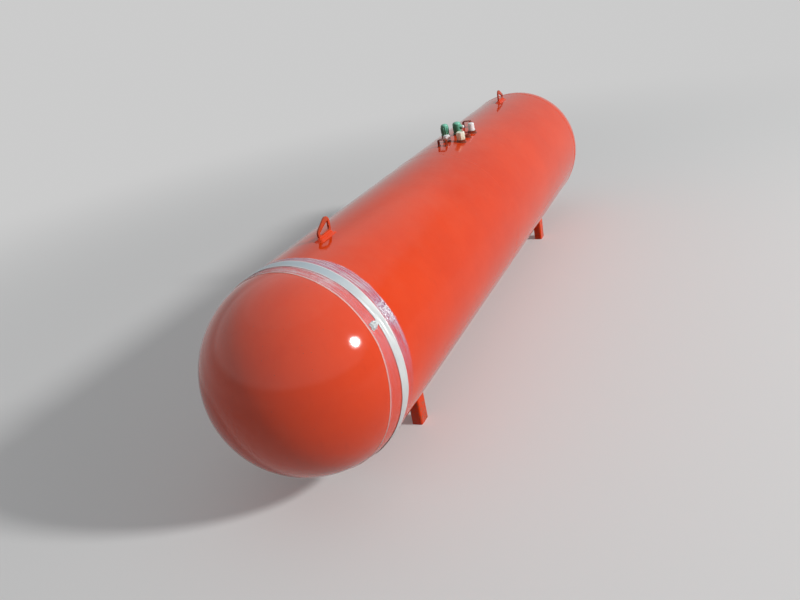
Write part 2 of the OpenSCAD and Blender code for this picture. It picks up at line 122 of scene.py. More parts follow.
def turned(name, outline, around, place, swell=None):
    """A body of revolution. Each outline point is (height on the axis, radius, share of the swell),
    swell(height, angle) is how far the skin stands proud there, and place puts (height, two
    distances across) into the frame."""
    rings = []
    for height, radius, share in outline:
        if radius < 1e-6:
            rings.append([place(height, 0, 0)])
            continue
        ring = []
        for i in range(around):
            angle = 2 * pi * i / around
            r = radius + (share * swell(height, angle) if share else 0)
            ring.append(place(height, r * sin(angle), r * cos(angle)))
        rings.append(ring)
    return ringed(name, rings)


def on_axis(x, across, up):
    """A place along and about the tank's axis."""
    return (x, across, axis_z + up)


def skin_swell(x, angle):
    """How far the skin lies off its true round: the long shallow facets that the rolls leave, and
    the neck that each girth weld pulls in. The angle goes from the top to the left."""
    across, up = sin(angle), cos(angle)
    wave = noise.noise((x * 0.5, 2.4 * across, 2.4 * up + 7))
    wave += 0.30 * noise.noise((x * 0.8, 8 * across, 8 * up))
    wave += 0.15 * noise.noise((x * 5, 4.5 * across, 4.5 * up))
    neck = 0
    for seam, depth in zip(girth_seams, seam_depths):
        neck += depth * exp(-((x - seam) / neck_reach) ** 2)
    return min(0, plate_wave * (wave - 0.7)) - seam_neck * neck


class Shader:
    """The nodes of a finish, which may be a piece's material or the world, added one by one."""

    def __init__(self, owner, surface="Principled BSDF"):
        self.owner = owner
        owner.use_nodes = True
        self.tree = owner.node_tree
        self.surface = self.tree.nodes[surface]
        self.places = self.tree.nodes.new("ShaderNodeTexCoord").outputs
        self.place = self.places["Object"]

    def put(self, value, socket):
        """Joins another node's result to a socket, or sets the socket to a plain value."""
        if isinstance(value, bpy.types.NodeSocket):
            self.tree.links.new(value, socket)
        else:
            socket.default_value = value

    def set(self, **values):
        """Puts values on the finish's own sockets."""
        for key, value in values.items():
            self.put(value, self.surface.inputs[key.replace("_", " ")])

    def add(self, kind, settings=None, inputs=(), **sockets):
        """A new node, with its inputs given in order or by name."""
        made = self.tree.nodes.new("ShaderNode" + kind)
        for key, value in (settings or {}).items():
            setattr(made, key, value)
        for i, value in enumerate(inputs):
            self.put(value, made.inputs[i])
        for key, value in sockets.items():
            self.put(value, made.inputs[key.replace("_", " ")])
        return made

    def stretched(self, x, y, z):
        """Coordinates that make a pattern finer by a number of times on each axis."""
        return self.add("Mapping", Vector=self.place, Scale=(x, y, z)).outputs[0]

    def grain(self, scale, detail=3, roughness=0.55, place=None):
        """Cloudy noise from 0 to 1, with so many patches to a metre."""
        return self.add("TexNoise", Vector=place or self.place, Scale=scale, Detail=detail,
                        Roughness=roughness).outputs["Fac"]

    def ramp(self, value, low, high, to_low=0.0, to_high=1.0):
        """A soft step between two values as another one rises from low to high."""
        settings = {"interpolation_type": "SMOOTHSTEP"}
        return self.add("MapRange", settings, (value, low, high, to_low, to_high)).outputs[0]

    def sum(self, operation, a, b=0.0):
        """Plain arithmetic, where what is added up stays between 0 and 1."""
        settings = {"operation": operation, "use_clamp": operation == "ADD"}
        return self.add("Math", settings, (a, b)).outputs[0]

    def vectors(self, operation, *inputs):
        """Arithmetic with vectors, which has a vector and a value as results."""
        return self.add("VectorMath", {"operation": operation}, inputs).outputs

    def all_of(self, *shares):
        """The product of several shares."""
        total = shares[0]
        for share in shares[1:]:
            total = self.sum("MULTIPLY", total, share)
        return total

    def mix(self, share, a, b):
        """The first colour with a share of the second over it."""
        made = self.add("Mix", {"data_type": "RGBA"})
        self.put(share, made.inputs["Factor"])
        self.put(a, made.inputs[6])
        self.put(b, made.inputs[7])
        return made.outputs[2]

    def near(self, middle, reach):
        """1 close to a place on the tank, falling to 0 at the reach."""
        away = self.vectors("DISTANCE", self.place, middle)["Value"]
        return self.ramp(away, reach, 0.25 * reach)

    def bumps(self, *layers):
        """Relief in layers of (height, strength, distance in metres)."""
        normal = None
        for height, strength, distance in layers:
            made = self.add("Bump", Height=height, Strength=strength, Distance=distance)
            if normal is not None:
                self.put(normal, made.inputs["Normal"])
            normal = made.outputs[0]
        self.set(Normal=normal)

    def split(self, vector):
        return self.add("SeparateXYZ", Vector=vector).outputs

    def normal(self):
        return self.add("NewGeometry").outputs["Normal"]

    def facing_up(self):
        return self.split(self.normal())[2]

    def height(self):
        return self.split(self.place)[2]

    def seen(self):
        """1 where the thing is seen, also mirrored or through film, and 0 where it gives light."""
        path = self.add("LightPath").outputs
        mirrored = self.sum("ADD", path["Is Glossy Ray"], path["Is Transmission Ray"])
        return self.sum("ADD", path["Is Camera Ray"], mirrored)


def new_material(name):
    """A new material, ready for its nodes."""
    return Shader(bpy.data.materials.new(name))


def enamel(name, gloss=0.05, soil=1.0, weld=0.0, rust_and_shade=0.0, painted_shade=0.0, shine=0.20):
    """Sprayed enamel: cloudy fading, runs, settled dust, splashed mud, specks and long scuffs, with
    dark patches that are rust and painted shade together, and a painted shade over a whole piece.
    """
    s = new_material(name)
    cloud = s.ramp(s.grain(1.1, 4, 0.6), 0.3, 0.7)
    colour = s.mix(cloud, enamel_deep, enamel_bright)
    blotch = s.ramp(s.grain(17, 5, 0.65), 0.35, 0.75)
    colour = s.mix(s.all_of(blotch, 0.10), colour, enamel_faded)
    runs = s.ramp(s.grain(1, 4, 0.6, s.stretched(26, 26, 1.6)), 0.56, 0.78)
    colour = s.mix(s.all_of(runs, 0.12), colour, run_colour)
    dust = s.all_of(s.ramp(s.facing_up(), 0.1, 1.0), s.ramp(s.grain(5.5, 7, 0.68), 0.36, 0.72))
    colour = s.mix(s.all_of(dust, 0.05 * soil), colour, dust_colour)
    splash = s.all_of(s.ramp(s.height(), 0.40, 0.05), s.ramp(s.grain(38, 6, 0.7), 0.50, 0.66))
    colour = s.mix(s.all_of(splash, 0.7 * soil), colour, mud_colour)
    cells = s.add("TexVoronoi", Vector=s.place, Scale=55.0, Randomness=1.0).outputs
    speck = s.all_of(s.ramp(cells["Distance"], 0.11, 0.05),
                     s.ramp(s.split(cells["Color"])[0], 0.90, 0.93))
    colour = s.mix(s.all_of(speck, 0.75), colour, speck_colour)
    scuff = s.ramp(s.grain(1, 5, 0.75, s.stretched(3.5, 120, 120)), 0.70, 0.76)
    scuff = s.all_of(scuff, s.ramp(s.grain(2.3, 2), 0.52, 0.66))
    colour = s.mix(s.all_of(scuff, 0.35), colour, scuff_colour)
    # a painted shade: the piece darkened in broad patches, standing in for shade and dark
    # reflections
    if painted_shade:
        rubbed = s.ramp(s.grain(22, 5, 0.65), 0.30, 0.60, 0.4 * painted_shade, painted_shade)
        colour = s.mix(rubbed, colour, painted_shade_colour)
    # dark patches that are partly rust and partly painted shade, for pieces that lie in shade
    if rust_and_shade:
        patch = s.ramp(s.grain(60, 6, 0.7), 0.62 - 0.5 * rust_and_shade, 0.78 - 0.5 * rust_and_shade)
        colour = s.mix(s.all_of(patch, 0.85), colour, rust_and_shade_colour)
    rough = s.ramp(s.grain(8, 4), 0.3, 0.75, gloss, gloss + 0.05 + 0.3 * rust_and_shade)
    for soiled, more in ((dust, 0.10 * soil), (splash, 0.45), (speck, 0.4), (scuff, 0.2)):
        rough = s.sum("ADD", rough, s.all_of(soiled, more))
    s.set(Base_Color=colour, Roughness=rough, Specular_IOR_Level=shine)
    peel = s.grain(330, 2, 0.5)
    sag = s.grain(1, 3, 0.5, s.stretched(30, 30, 9))
    s.bumps((peel, 0.10 + 0.3 * weld, 0.0006), (sag, 0.10, 0.003), (speck, 0.3, 0.0004))
    return s.owner


tank_enamel = enamel("tank_enamel")
head_enamel = enamel("head_enamel", shine=0.48)

tank_around = 320
course_steps = 60
head_steps = 72
inner_steps = 24

for name, start, end in (("shell_near", near_seam, 0.0), ("shell_far", 0.0, far_seam)):
    outline = []
    for i in range(course_steps + 1):
        # the rings lie closer near the two welds, where the plate necks in
        t = 0.5 - 0.5 * cos(pi * i / course_steps)
        outline.append((start + (end - start) * t, shell_r, 1))
    outline += [(end, shell_r - shell_wall, 1), (start, shell_r - shell_wall, 1)]
    course = turned(name + "_plate", outline, tank_around, on_axis, skin_swell)
    on_tank(course, tank_enamel, "tank_paint", name)

for name, seam, way, coat in (("head_near", near_seam, -1, head_enamel),
                              ("head_far", far_seam, 1, tank_enamel)):
    outline = []
    for radius, steps in ((shell_r, head_steps), (shell_r - head_wall, inner_steps)):
        arc = []
        for i in range(steps + 1):
            t = pi / 2 * i / steps
            arc.append((seam + way * radius * sin(t), radius * cos(t) if i < steps else 0, 1))
        outline += arc[::-1] if outline else arc
    head = turned(name + "_pressing", outline, tank_around, on_axis, skin_swell)
    on_tank(head, coat, "tank_paint", name)

# Weld beads
# Runs of weld metal laid in close ripples by an automatic torch and painted over with the rest:
# three round the tank, where plates and heads meet, and one along each rolled plate. The one in
# the middle is ground down until it is nearly flush.
bead_half = 0.006
bead_crown = 0.002
dressed_crown = 0.0009
weld_sunk = 0.003
ripple = 0.006
ripple_steps = 4
ripple_depth = 0.09
bead_waver = 0.16
toe_lag = 0.4
bead_rows = 8
weld_step = ripple / ripple_steps
ends = ("near", "far")
weld_enamel = enamel("weld_enamel", gloss=0.12, soil=1.2, weld=1.0)


def weld_run(name, frames, section, closed=True):
    """A run of weld metal through frames of (place, side, up), some to each ripple. The section
    goes round in points of (side, up, share of the ripple)."""
    rings = []
    for i, (place, side, up) in enumerate(frames):
        uneven = bead_waver * noise.noise(place * 14)
        ring = []
        for a, b, share in section:
            beat = cos(2 * pi * (i / ripple_steps + toe_lag * (1 - share)))
            size = 1 + share * (uneven + ripple_depth * (beat - 1))
            ring.append(place + side * (a * size) + up * (b * size))
        rings.append(ring)
    return ringed(name, rings, closed)


def bead_section(crown=bead_crown):
    """A low crowned bead over a butt joint."""
    top = []
    for i in range(bead_rows + 1):
        t = 2 * i / bead_rows - 1
        top.append((bead_half * t, crown * (1 - t * t), 1 - t * t))
    return top + [(bead_half, -weld_sunk, 0), (-bead_half, -weld_sunk, 0)]


def on_skin(x, angle):
    """A place on the shell, and the way out of it."""
    out = Vector((0, sin(angle), cos(angle)))
    return Vector((x, 0, axis_z)) + out * (shell_r + skin_swell(x, angle)), out


def node_middle(name):
    low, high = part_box(name)
    return (low + high) / 2


along = Vector((1, 0, 0))
girth_steps = ripple_steps * round(2 * pi * shell_r / ripple)
for name, seam, crown in zip(("near", "middle", "far"), girth_seams,
                             (bead_crown, dressed_crown, bead_crown)):
    frames = []
    for i in range(girth_steps):
        place, out = on_skin(seam, 2 * pi * i / girth_steps)
        frames.append((place, along, out))
    bead = weld_run("girth_bead_" + name, frames, bead_section(crown))
    on_tank(bead, weld_enamel, "tank_paint", "seam_weld_" + name)

for name in ends:
    low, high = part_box("long_weld_" + name)
    middle = node_middle("long_weld_" + name)
    angle = atan2(middle.y, middle.z - axis_z)
    frames = []
    for i in range(round((high.x - low.x) / weld_step)):
        place, out = on_skin(low.x + i * weld_step, angle)
        frames.append((place, Vector((0, cos(angle), -sin(angle))), out))
    bead = weld_run("long_bead_" + name, frames, bead_section(), closed=False)
    on_tank(bead, weld_enamel, "tank_paint", "long_weld_" + name)

# Lifting lugs and their pads
# A flame-cut plate loop near each end, which rises towards the tank's middle, with its foot welded
# all round on a curved pad. The pad's own edge is welded to the shell.
pad_grind = 0.0010
lug_grind = 0.0012
lug_thickness = 0.010
lug_foot = 0.112
lug_weld = 0.0125
pad_weld = 0.007
pad_weld_rise = 0.005
lug_pad_width = 0.044
lug_pad_corner = 0.010
fillet_crown = 0.45
fillet_steps = 6
small_enamel = enamel("small_enamel", gloss=0.12, soil=1.1)
# the lugs' enamel is darkened all over as painted shade, with a few dark patches of rust and
# painted shade
lug_enamel = enamel("lug_enamel", gloss=0.16, soil=1.6, rust_and_shade=0.10, painted_shade=0.75)


def ground(name, node, grind, sharp=sharp_edge):
    """The node's own solid with its edges ground round."""
    form = bmesh.new()
    form.from_mesh(nodes[node].data)
    bmesh.ops.remove_doubles(form, verts=form.verts, dist=1e-5)
    bmesh.ops.dissolve_limit(form, angle_limit=radians(0.5), verts=form.verts, edges=form.edges)
    edges = [e for e in form.edges if e.is_manifold and e.calc_face_angle() > sharp]
    bmesh.ops.bevel(form, geom=edges, offset=grind, segments=2, profile=0.5, affect="EDGES",
                    clamp_overlap=True)
    form.verts.index_update()
    points = [v.co.copy() for v in form.verts]
    faces = [[v.index for v in f.verts] for f in form.faces]
    form.free()
    return new_mesh(name, points, faces)


def rounded_outline(length, width, corner):
    """Points (u, v) and the ways out (nu, nv) round a rectangle with round corners, a weld step
    apart, with a whole number of ripples."""
    straight = [width - 2 * corner, length - 2 * corner] * 2
    arc = pi / 2 * corner
    total = sum(straight) + 4 * arc
    count = ripple_steps * round(total / ripple)
    middles = [(length / 2 - corner, width / 2 - corner), (corner - length / 2, width / 2 - corner),
               (corner - length / 2, corner - width / 2), (length / 2 - corner, corner - width / 2)]
    outline = []
    for i in range(count):
        s = total * i / count
        for k in range(4):
            way = Vector((cos(k * pi / 2), sin(k * pi / 2)))
            if s <= straight[k]:
                before = middles[k - 1]
                start = Vector(before) + way * corner
                point = start + Vector((-way.y, way.x)) * s
                outline.append((*point, *way))
                break
            s -= straight[k]
            if s <= arc:
                turn = k * pi / 2 + s / corner
                way = Vector((cos(turn), sin(turn)))
                outline.append((*(Vector(middles[k]) + way * corner), *way))
                break
            s -= arc
    return outline


def fillet_section(out_leg, up_leg):
    """A fillet weld, slightly crowned, between a face that runs out and a wall that rises."""
    section = [(out_leg, -weld_sunk, 0)]
    for i in range(fillet_steps + 1):
        flat = i / fillet_steps
        t = pi / 2 * flat
        section.append((out_leg * (fillet_crown * cos(t) + (1 - fillet_crown) * (1 - flat)),
                        up_leg * (fillet_crown * sin(t) + (1 - fillet_crown) * flat),
                        sin(2 * t)))
    return section + [(-weld_sunk / 2, up_leg, 0), (-weld_sunk / 2, -weld_sunk, 0)]


def pad_frames(x, angle, length, width, corner):
    """Round a pad's edge on the shell, with the pad's middle at an angle from the top."""
    frames = []
    for u, v, nu, nv in rounded_outline(length, width, corner):
        turn = angle + asin(v / shell_r)
        place, out = on_skin(x + u, turn)
        side = Vector((nu, nv * cos(turn), -nv * sin(turn)))
        frames.append((place, side, out))
    return frames


def foot_frames(x, y, length, width, corner, under):
    """Round an upright piece's foot, where it stands on a round of radius `under`."""
    frames = []
    for u, v, nu, nv in rounded_outline(length, width, corner):
        rise = sqrt(under ** 2 - (y + v) ** 2)
        side = Vector((nu, nv, -nv * (y + v) / rise)).normalized()
        frames.append((Vector((x + u, y + v, axis_z + rise)), side, Vector((0, 0, 1))))
    return frames


for end in ends:
    low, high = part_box("lug_pad_" + end)
    pad = ground("lug_pad_plate_" + end, "lug_pad_" + end, pad_grind)
    on_tank(pad, small_enamel, "tank_paint", "lug_pad_" + end)
    x = (low.x + high.x) / 2
    frames = pad_frames(x, 0, high.x - low.x, lug_pad_width, lug_pad_corner)
    edge = weld_run("lug_pad_fillet_" + end, frames, fillet_section(pad_weld, pad_weld_rise))
    on_tank(edge, weld_enamel, "tank_paint")
    lug = ground("lug_plate_" + end, "lifting_lug_" + end, lug_grind)
    on_tank(lug, lug_enamel, "tank_paint", "lifting_lug_" + end)
    frames = foot_frames(x, 0, lug_foot, lug_thickness, lug_thickness / 4, high.z - axis_z)
    foot = weld_run("lug_foot_fillet_" + end, frames, fillet_section(lug_weld, lug_weld))
    on_tank(foot, weld_enamel, "tank_paint")

# Legs and their pads
# Short channels of bent plate with their backs to the outside, cut to the shell's round and welded
# under pads with round corners. A small plate with an anchor hole closes each foot.
leg_grind = 0.0009
leg_bend = 0.012
leg_weld = 0.007
leg_pad_width = 0.160
leg_pad_corner = 0.072
pad_r = shell_r + 0.006
sides = (("left", 1), ("right", -1))

for end in ends:
    for side_name, side in sides:
        corner_name = end + "_" + side_name
        low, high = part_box("leg_pad_" + corner_name)
        pad = ground("leg_pad_plate_" + corner_name, "leg_pad_" + corner_name, pad_grind)
        on_tank(pad, small_enamel, "tank_paint", "leg_pad_" + corner_name)
        leg = ground("leg_channel_" + corner_name, "leg_" + corner_name, leg_grind)
        on_tank(leg, small_enamel, "tank_paint", "leg_" + corner_name)
        foot = node_middle("leg_" + corner_name)
        angle = pi - side * asin(abs(foot.y) / pad_r)
        frames = pad_frames(foot.x, angle, high.x - low.x, leg_pad_width, leg_pad_corner)
        edge = weld_run("leg_pad_fillet_" + corner_name, frames,
                        fillet_section(pad_weld, pad_weld_rise))
        on_tank(edge, weld_enamel, "tank_paint")
        low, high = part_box("leg_" + corner_name)
        open_side = min(abs(low.y), abs(high.y))
        frames = []
        for u, v, nu, nv in rounded_outline(high.x - low.x, 2 * (high.y - low.y), leg_bend):
            if v < 0:
                continue
            y = side * (open_side + v)
            drop = sqrt(pad_r ** 2 - y ** 2)
            out = Vector((nu, side * nv, side * nv * y / drop)).normalized()
            frames.append((Vector((foot.x + u, y, axis_z - drop)), out, Vector((0, 0, -1))))
        # the run starts on one side of the channel's opening and ends on the other
        frames.sort(key=lambda f: atan2(side * f[0].y - open_side, f[0].x - foot.x))
        top = weld_run("leg_top_fillet_" + corner_name, frames, fillet_section(leg_weld, leg_weld),
                       closed=False)
        on_tank(top, weld_enamel, "tank_paint")

# Couplings
# Forged steel sockets let into holes in the far plate and fillet welded round their outside.
coupling_grind = 0.0008
coupling_weld = 0.006
# the sockets, their welds and the hood brackets are painted dark: some rust, and painted shade
# under the caps and on their unlit sides
rusty_shaded_enamel = enamel("rusty_shaded_enamel", gloss=0.25, soil=2.0, weld=0.5, rust_and_shade=0.7)

for use in ("fill", "service", "relief", "vapour", "gauge", "spare"):
    name = use + "_coupling"
    low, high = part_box(name)
    on_tank(ground(use + "_socket", name, coupling_grind), rusty_shaded_enamel, "tank_paint", name)
    middle = node_middle(name)
    width = high.x - low.x
    frames = foot_frames(middle.x, middle.y, width, width, width / 2 - 1e-6, shell_r)
    ring = weld_run(use + "_socket_fillet", frames, fillet_section(coupling_weld, coupling_weld))
    on_tank(ring, rusty_shaded_enamel, "tank_paint")

# Valves, gauge flange and plug
# Turned brass valve bodies and a cast zinc gauge flange screwed into the couplings, mostly hidden
# by their caps, and a steel plug with a hexagon socket in the spare coupling.
brass_bright = (0.66, 0.44, 0.17, 1)
brass_tarnished = (0.30, 0.17, 0.06, 1)
zinc_bright = (0.46, 0.47, 0.48, 1)
zinc_dull = (0.20, 0.20, 0.21, 1)
plug_grind = 0.0005


def bare_metal(name, bright, dull, rough, turning):
    """Metal that keeps the tool's fine rings, dulled in patches and bright where it is rubbed."""
    s = new_material(name)
    patch = s.ramp(s.grain(45, 5, 0.65), 0.35, 0.70)
    speck = s.ramp(s.grain(420, 3, 0.6), 0.60, 0.72)
    dulled = s.sum("ADD", s.all_of(patch, 0.7), s.all_of(speck, 0.4))
    rings = s.grain(1, 2, 0.5, s.stretched(12, 12, turning))
    s.set(Base_Color=s.mix(dulled, bright, dull), Metallic=1.0,
          Roughness=s.sum("ADD", rough, s.all_of(dulled, 0.28)))
    s.bumps((rings, 0.25, 0.0004), (speck, 0.2, 0.0003))
    return s.owner


brass = bare_metal("turned_brass", brass_bright, brass_tarnished, 0.24, 2600)
zinc = bare_metal("cast_zinc", zinc_bright, zinc_dull, 0.42, 300)
for name in ("fill_valve", "service_valve", "relief_valve", "vapour_valve", "gauge_body"):
    metal = nodes[name].data.materials
    metal.clear()
    metal.append(zinc if name == "gauge_body" else brass)
plug = ground("spare_socket_plug", "spare_plug", plug_grind)
on_tank(plug, small_enamel, "tank_paint", "spare_plug")

# Green caps
# A ribbed screw cap on the fill valve, and a smooth cover slipped over the service valve, with a
# boss round its side port. Injection moulded, a little chalked by the sun. Their side towards the
# key lamp is painted paler, a painted highlight, and the other side darker, a painted shade.
green_fresh = (0.012, 0.140, 0.062, 1)
green_chalked_lit = (0.200, 0.640, 0.470, 1)
fill_r = 0.0270
fill_rib = 0.0030
fill_rib_count = 12
cap_dome = 0.019
cap_lip = 0.0015
boss_r = 0.015
boss_root = 0.020
boss_reach = 0.040
boss_bore = 0.0076
port_height = 0.043
hexagon_top = 0.0105
large_hexagon_r = 0.0248
fill_neck = (0.0195, 0.0585)
service_neck = (0.0225, 0.0585)
service_stem = (0.0105, 0.0705)
dome_steps = 14
dome_squareness = 0.72
lit_side = (-0.25, -0.60, 0.76)
chalk_and_light = 0.9


def mouth_of(use):
    """The middle of a coupling's mouth."""
    low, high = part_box(use + "_coupling")
    mouth = (low + high) / 2
    mouth.z = high.z
    return mouth


def standing(use):
    """Puts (height, across, along) above the middle of a coupling's mouth into the frame."""
    mouth = mouth_of(use)
    return lambda height, across, along: (mouth.x + along, mouth.y + across, mouth.z + height)


def sideways(use):
    """Puts (reach to the right, across, up) from a fitting's port into the frame."""
    mouth = mouth_of(use)
    return lambda reach, across, up: (mouth.x + across, mouth.y - reach,
                                      mouth.z + port_height + up)


def domed(radius, height, rise):
    """The top of a moulding, from its side up to its middle: a flat dome with a soft shoulder."""
    top = []
    for i in range(dome_steps + 1):
        t = pi / 2 * i / dome_steps
        r = radius * cos(t) ** dome_squareness if i < dome_steps else 0
        top.append((height - rise * (1 - sin(t)), r, 0))
    return top


def room(neck, stem=None, hexagon_r=large_hexagon_r):
    """The inside of a cap, from its middle down to its mouth, clear of the valve's stem, neck and
    hexagon. The stem and the neck are given as (radius, top)."""
    neck_r, neck_top = neck
    inside = [(neck_top, 0, 0)]
    if stem:
        stem_r, stem_top = stem
        inside = [(stem_top, 0, 0), (stem_top, stem_r, 0), (neck_top, stem_r, 0)]
    return inside + [(neck_top, neck_r, 0), (hexagon_top, neck_r, 0), (hexagon_top, hexagon_r, 0),
                     (0, hexagon_r, 0)]


def cap_height(name):
    low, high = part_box(name)
    return high.z - low.z


def ribbed(count, depth, sharpness):
    """Upright grip ribs round a cap."""
    return lambda height, angle: depth * (0.5 + 0.5 * cos(count * angle)) ** sharpness


def moulded(name, fresh, chalked, gloss, grime):
    """Moulded plastic: paler on its side towards the key lamp, partly chalking and partly painted
    light, so that its other side reads as painted shade; with fine scratches, flow marks and grime
    that gathers near its foot."""
    s = new_material(name)
    # the side towards the key lamp is painted paler: some chalking and a painted highlight
    lit_share = s.ramp(s.vectors("DOT_PRODUCT", s.normal(), lit_side)["Value"], 0.32, 0.92)
    cloud = s.ramp(s.grain(38, 5, 0.62), 0.30, 0.72)
    colour = s.mix(s.sum("ADD", s.all_of(lit_share, chalk_and_light), s.all_of(cloud, 0.14)), fresh, chalked)
    low = s.ramp(s.height(), axis_z + shell_r + 0.050, axis_z + shell_r + 0.004)
    dirt = s.ramp(s.grain(120, 6, 0.7), 0.44, 0.64)
    dirt = s.all_of(s.sum("ADD", s.all_of(low, 0.6), 0.12), dirt)
    colour = s.mix(s.all_of(dirt, grime), colour, mud_colour)
    scratch = s.ramp(s.grain(1, 4, 0.7, s.stretched(900, 160, 40)), 0.66, 0.74)
    colour = s.mix(s.all_of(scratch, 0.25), colour, chalked)
    rough = s.ramp(s.grain(60, 3), 0.3, 0.7, gloss, gloss + 0.14)
    rough = s.sum("ADD", rough, s.all_of(dirt, 0.4))
    s.set(Base_Color=colour, Roughness=s.sum("ADD", rough, s.all_of(scratch, 0.15)))
    s.bumps((s.grain(1500, 2, 0.5), 0.14, 0.0002), (scratch, 0.2, 0.0002), (cloud, 0.12, 0.0008))
    return s.owner


green_plastic = moulded("green_plastic", green_fresh, green_chalked_lit, 0.20, 0.5)

height = cap_height("fill_cap")
side_top = height - cap_dome - 0.003
outline = [(0, fill_r + cap_lip, 0), (0.0010, fill_r + 0.0028, 0), (0.0050, fill_r + 0.0028, 0),
           (0.0062, fill_r - 0.0012, 0.2), (0.0085, fill_r - 0.0020, 0.9),
           (0.0260, fill_r, 1), (side_top - 0.004, fill_r, 1),
           (side_top - 0.0012, fill_r - 0.0002, 0.75), (side_top, fill_r - 0.0003, 0)]
outline += domed(fill_r - 0.0004, height, cap_dome)
outline += room(fill_neck)
cap = turned("fill_screw_cap", outline, around=12 * fill_rib_count, place=standing("fill"),
             swell=ribbed(fill_rib_count, fill_rib, 0.7))
on_tank(cap, green_plastic, "green_plastic", "fill_cap")

low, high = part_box("service_cap")
cover_r = (high.x - low.x) / 2
height = cap_height("service_cap")
outline = [(0, cover_r - 0.0020, 0), (0.0008, cover_r, 0), (0.0060, cover_r, 0),
           (0.0072, cover_r - 0.0026, 0), (0.0300, cover_r - 0.0012, 0),
           (height - cap_dome, cover_r - 0.0016, 0)]
outline += domed(cover_r - 0.0016, height, cap_dome)[1:]
outline += room(service_neck, service_stem)
cover = turned("service_cover", outline, around=128, place=standing("service"))
on_tank(cover, green_plastic, "green_plastic", "service_cap")

outline = [(boss_root, boss_bore, 0), (boss_root, boss_r, 0),
           (cover_r - 0.002, boss_r + 0.0022, 0), (cover_r + 0.001, boss_r + 0.0002, 0),
           (boss_reach - 0.0012, boss_r - 0.0002, 0), (boss_reach - 0.0002, boss_r - 0.0012, 0),
           (boss_reach, boss_r - 0.003, 0), (boss_reach, boss_bore, 0)]
boss = turned("service_cover_boss", outline, around=72, place=sideways("service"))
on_tank(boss, green_plastic, "green_plastic")

# White and cream caps
# A lobed cap to turn by hand on the vapour valve, a rain cap over the relief valve, the knurled
# plug of the service valve's port, and the gauge's eight-sided cap. Moulded, a little yellowed.
white_fresh = (0.78, 0.78, 0.76, 1)
white_chalked_lit = (0.90, 0.90, 0.90, 1)
cream_fresh = (0.86, 0.88, 0.62, 1)
cream_chalked_lit = (0.94, 0.97, 0.84, 1)
small_dome = 0.005
relief_dome = 0.012
lobe_count = 4
lobe_r = 0.010
lobe_ring = 0.017
vapour_r = 0.021
relief_r = 0.023
relief_neck = (0.0175, 0.0405)
vapour_neck = (0.0125, 0.0245)
small_hexagon_r = 0.0190
plug_r = 0.0068
plug_tip = 0.0105
plug_head_r = 0.0104
plug_reach = 0.053
plug_knurls = 20
plug_knurl = 0.0006
gauge_cap_grind = 0.0009
gauge_cap_edge = radians(25)

white_plastic = moulded("white_plastic", white_fresh, white_chalked_lit, 0.26, 0.35)
cream_plastic = moulded("cream_plastic", cream_fresh, cream_chalked_lit, 0.34, 1.0)


def lobes(height, angle):
    """Round lobes about the vapour cap, softened where they meet its middle."""
    part = 2 * pi / lobe_count
    turn = (angle + part / 2) % part - part / 2
    far = lobe_r ** 2 - (lobe_ring * sin(turn)) ** 2
    reach = lobe_ring * cos(turn) + sqrt(far) if far > 0 else 0
    return max(reach - vapour_r, 0.0008 * (1 - abs(turn) / part))


height = cap_height("vapour_cap")
lobe_top = height - small_dome - 0.003
outline = [(0, vapour_r - 0.0008, 0.93), (0.0008, vapour_r, 1), (lobe_top - 0.0020, vapour_r, 1),
           (lobe_top - 0.0006, vapour_r, 0.92), (lobe_top, vapour_r, 0.70),
           (lobe_top + 0.0004, vapour_r - 0.0001, 0)]
outline += domed(vapour_r - 0.0002, height, small_dome)
outline += room(vapour_neck, hexagon_r=small_hexagon_r)
cap = turned("vapour_lobed_cap", outline, around=160, place=standing("vapour"), swell=lobes)
on_tank(cap, white_plastic, "white_plastic", "vapour_cap")

height = cap_height("relief_cap")
outline = [(0, relief_r + 0.0012, 0), (0.0007, relief_r + 0.0020, 0),
           (0.0052, relief_r + 0.0020, 0), (0.0062, relief_r + 0.0006, 0),
           (0.0076, relief_r, 0), (height - relief_dome, relief_r - 0.0008, 0)]
outline += domed(relief_r - 0.0008, height, relief_dome)[1:]
outline += room(relief_neck)
cap = turned("relief_rain_cap", outline, around=112, place=standing("relief"))
on_tank(cap, white_plastic, "white_plastic", "relief_cap")

outline = [(plug_tip, 0, 0), (plug_tip, plug_r, 0), (boss_reach + 0.0002, plug_r, 0),
           (boss_reach + 0.0002, plug_head_r - 0.0002, 0), (boss_reach + 0.001, plug_head_r, 1),
           (boss_reach + 0.007, plug_head_r, 1), (boss_reach + 0.008, plug_head_r, 0)]
outline += domed(plug_head_r, plug_reach, small_dome)
plug = turned("service_port_plug", outline, around=6 * plug_knurls, place=sideways("service"),
              swell=ribbed(plug_knurls, plug_knurl, 1))
on_tank(plug, white_plastic, "white_plastic", "service_outlet_cap")

cap = ground("gauge_eight_sided_cap", "gauge_dial", gauge_cap_grind, gauge_cap_edge)
on_tank(cap, cream_plastic, "cream_plastic", "gauge_dial")

# Hood brackets
# Two straps bent down at both ends and welded to the shell, which would hold the tongues of a
# hood over the valves.
bracket_grind = 0.0007
bracket_weld = 0.0055
bracket_thickness = 0.005

for end in ends:
    name = "hood_bracket_" + end
    low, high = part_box(name)
    # the straps and their welds take the dark enamel of rust and painted shade
    on_tank(ground("bracket_strap_" + end, name, bracket_grind), rusty_shaded_enamel, "tank_paint", name)
    for side_name, side in sides:
        y = side * ((high.y - low.y) / 2 - bracket_thickness / 2)
        frames = foot_frames((low.x + high.x) / 2, y, high.x - low.x, bracket_thickness,
                             bracket_thickness / 3, shell_r)
        foot = weld_run("bracket_fillet_" + end + "_" + side_name, frames,
                        fillet_section(bracket_weld, bracket_weld))
        on_tank(foot, rusty_shaded_enamel, "tank_paint")

